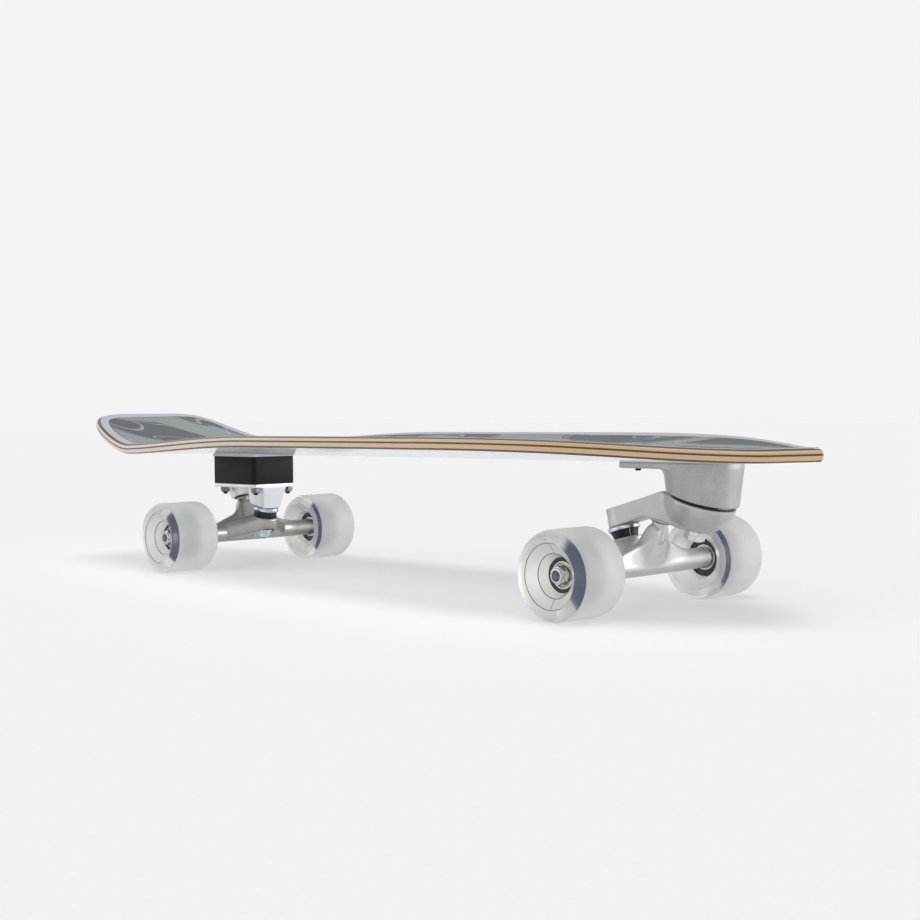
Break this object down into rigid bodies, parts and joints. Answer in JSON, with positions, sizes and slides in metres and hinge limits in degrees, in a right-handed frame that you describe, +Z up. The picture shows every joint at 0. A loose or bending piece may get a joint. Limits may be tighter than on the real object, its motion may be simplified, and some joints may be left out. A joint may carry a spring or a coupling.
{
  "type": "surf skateboard",
  "caption": "Surf skateboard: dished maple deck with a kicked tail, swing-arm front truck, rear truck on a tall riser, translucent wheels.",
  "frame": {"origin": "on the floor under the middle of the deck", "axes": "+X to the nose, +Y to the left of a rider who faces the nose, +Z up"},
  "size_m": [0.892, 0.248, 0.1612],
  "materials": {
    "maple": "light maple plies, clear-coated edge, pale glossy underside",
    "grip": "charcoal grit with mid grey shapes and a light grey border",
    "pad": "light grey, smooth",
    "riser": "black, satin",
    "cast_light": "light satin casting",
    "cast_grey": "mid grey satin casting",
    "steel": "bright steel",
    "zinc": "bluish zinc plating",
    "black_steel": "black oxide, satin",
    "bearing": "steel races with greenish shields",
    "urethane": "translucent greyish-white cast urethane, satin tread, glossy faces",
    "core": "black moulded core",
    "rubber": "black, satin"
  },
  "bodies": {
    "board": {"deck": "maple", "grip_sheet": "grip", "riser_pad": "pad", "riser_block": "riser", "rear_baseplate": "cast_light", "front_base": "cast_light", "swing_sleeve": "steel", "swing_spring": "steel", "front_bolt_tail_left": "black_steel", "front_bolt_tail_right": "black_steel", "front_bolt_nose_left": "black_steel", "front_bolt_nose_right": "black_steel", "rear_bolt_tail_left": "black_steel", "rear_bolt_tail_right": "black_steel", "rear_bolt_nose_left": "black_steel", "rear_bolt_nose_right": "black_steel", "rear_kingpin": "steel", "rear_kingpin_nut": "zinc", "rear_cup_washer": "zinc", "rear_flat_washer": "zinc", "rear_bushing_board": "rubber", "rear_bushing_road": "rubber", "rear_pivot_cup": "rubber"},
    "arm": {"swing_arm": "cast_light", "swing_post": "steel", "swing_post_nut": "zinc", "thrust_bearing": "bearing", "swing_seal": "rubber", "front_kingpin": "steel", "front_kingpin_nut": "zinc", "front_cup_washer": "zinc", "front_flat_washer": "zinc", "front_bushing_board": "rubber", "front_bushing_road": "rubber", "front_pivot_cup": "rubber"},
    "front_axle_unit": {"front_hanger": "cast_light", "front_axle": "steel", "front_left_axle_nut": "steel", "front_right_axle_nut": "steel"},
    "rear_axle_unit": {"rear_hanger": "cast_grey", "rear_axle": "steel", "rear_left_axle_nut": "steel", "rear_right_axle_nut": "steel"},
    "front_left_wheel": {"front_left_tyre": "urethane", "front_left_wheel_core": "core", "front_left_bearing_outer": "bearing", "front_left_bearing_inner": "bearing"},
    "front_right_wheel": {"front_right_tyre": "urethane", "front_right_wheel_core": "core", "front_right_bearing_outer": "bearing", "front_right_bearing_inner": "bearing"},
    "rear_left_wheel": {"rear_left_tyre": "urethane", "rear_left_wheel_core": "core", "rear_left_bearing_outer": "bearing", "rear_left_bearing_inner": "bearing"},
    "rear_right_wheel": {"rear_right_tyre": "urethane", "rear_right_wheel_core": "core", "rear_right_bearing_outer": "bearing", "rear_right_bearing_inner": "bearing"}
  },
  "joints": [
    {"name": "arm_swing", "type": "hinge", "parent": "board", "child": "arm", "pos_m": [0.3416, 0, 0.0905], "axis": [0.2756, 0, 0.9613], "range_deg": [-22, 22], "stiffness_Nm_per_rad": 9},
    {"name": "front_tilt", "type": "hinge", "parent": "arm", "child": "front_axle_unit", "pos_m": [0.2669, 0, 0.05027], "axis": [0.7911, 0, 0.6117], "range_deg": [-10, 10], "stiffness_Nm_per_rad": 35, "deforming": ["front_bushing_board", "front_bushing_road"]},
    {"name": "rear_tilt", "type": "hinge", "parent": "board", "child": "rear_axle_unit", "pos_m": [-0.2213, 0, 0.04734], "axis": [-0.797, 0, 0.604], "range_deg": [-10, 10], "stiffness_Nm_per_rad": 35, "deforming": ["rear_bushing_board", "rear_bushing_road"]},
    {"name": "front_left_spin", "type": "hinge", "parent": "front_axle_unit", "child": "front_left_wheel", "pos_m": [0.285, 0.09, 0.035], "axis": [0, 1, 0], "continuous": true},
    {"name": "front_right_spin", "type": "hinge", "parent": "front_axle_unit", "child": "front_right_wheel", "pos_m": [0.285, -0.09, 0.035], "axis": [0, 1, 0], "continuous": true},
    {"name": "rear_left_spin", "type": "hinge", "parent": "rear_axle_unit", "child": "rear_left_wheel", "pos_m": [-0.244, 0.09, 0.035], "axis": [0, 1, 0], "continuous": true},
    {"name": "rear_right_spin", "type": "hinge", "parent": "rear_axle_unit", "child": "rear_right_wheel", "pos_m": [-0.244, -0.09, 0.035], "axis": [0, 1, 0], "continuous": true}
  ]
}
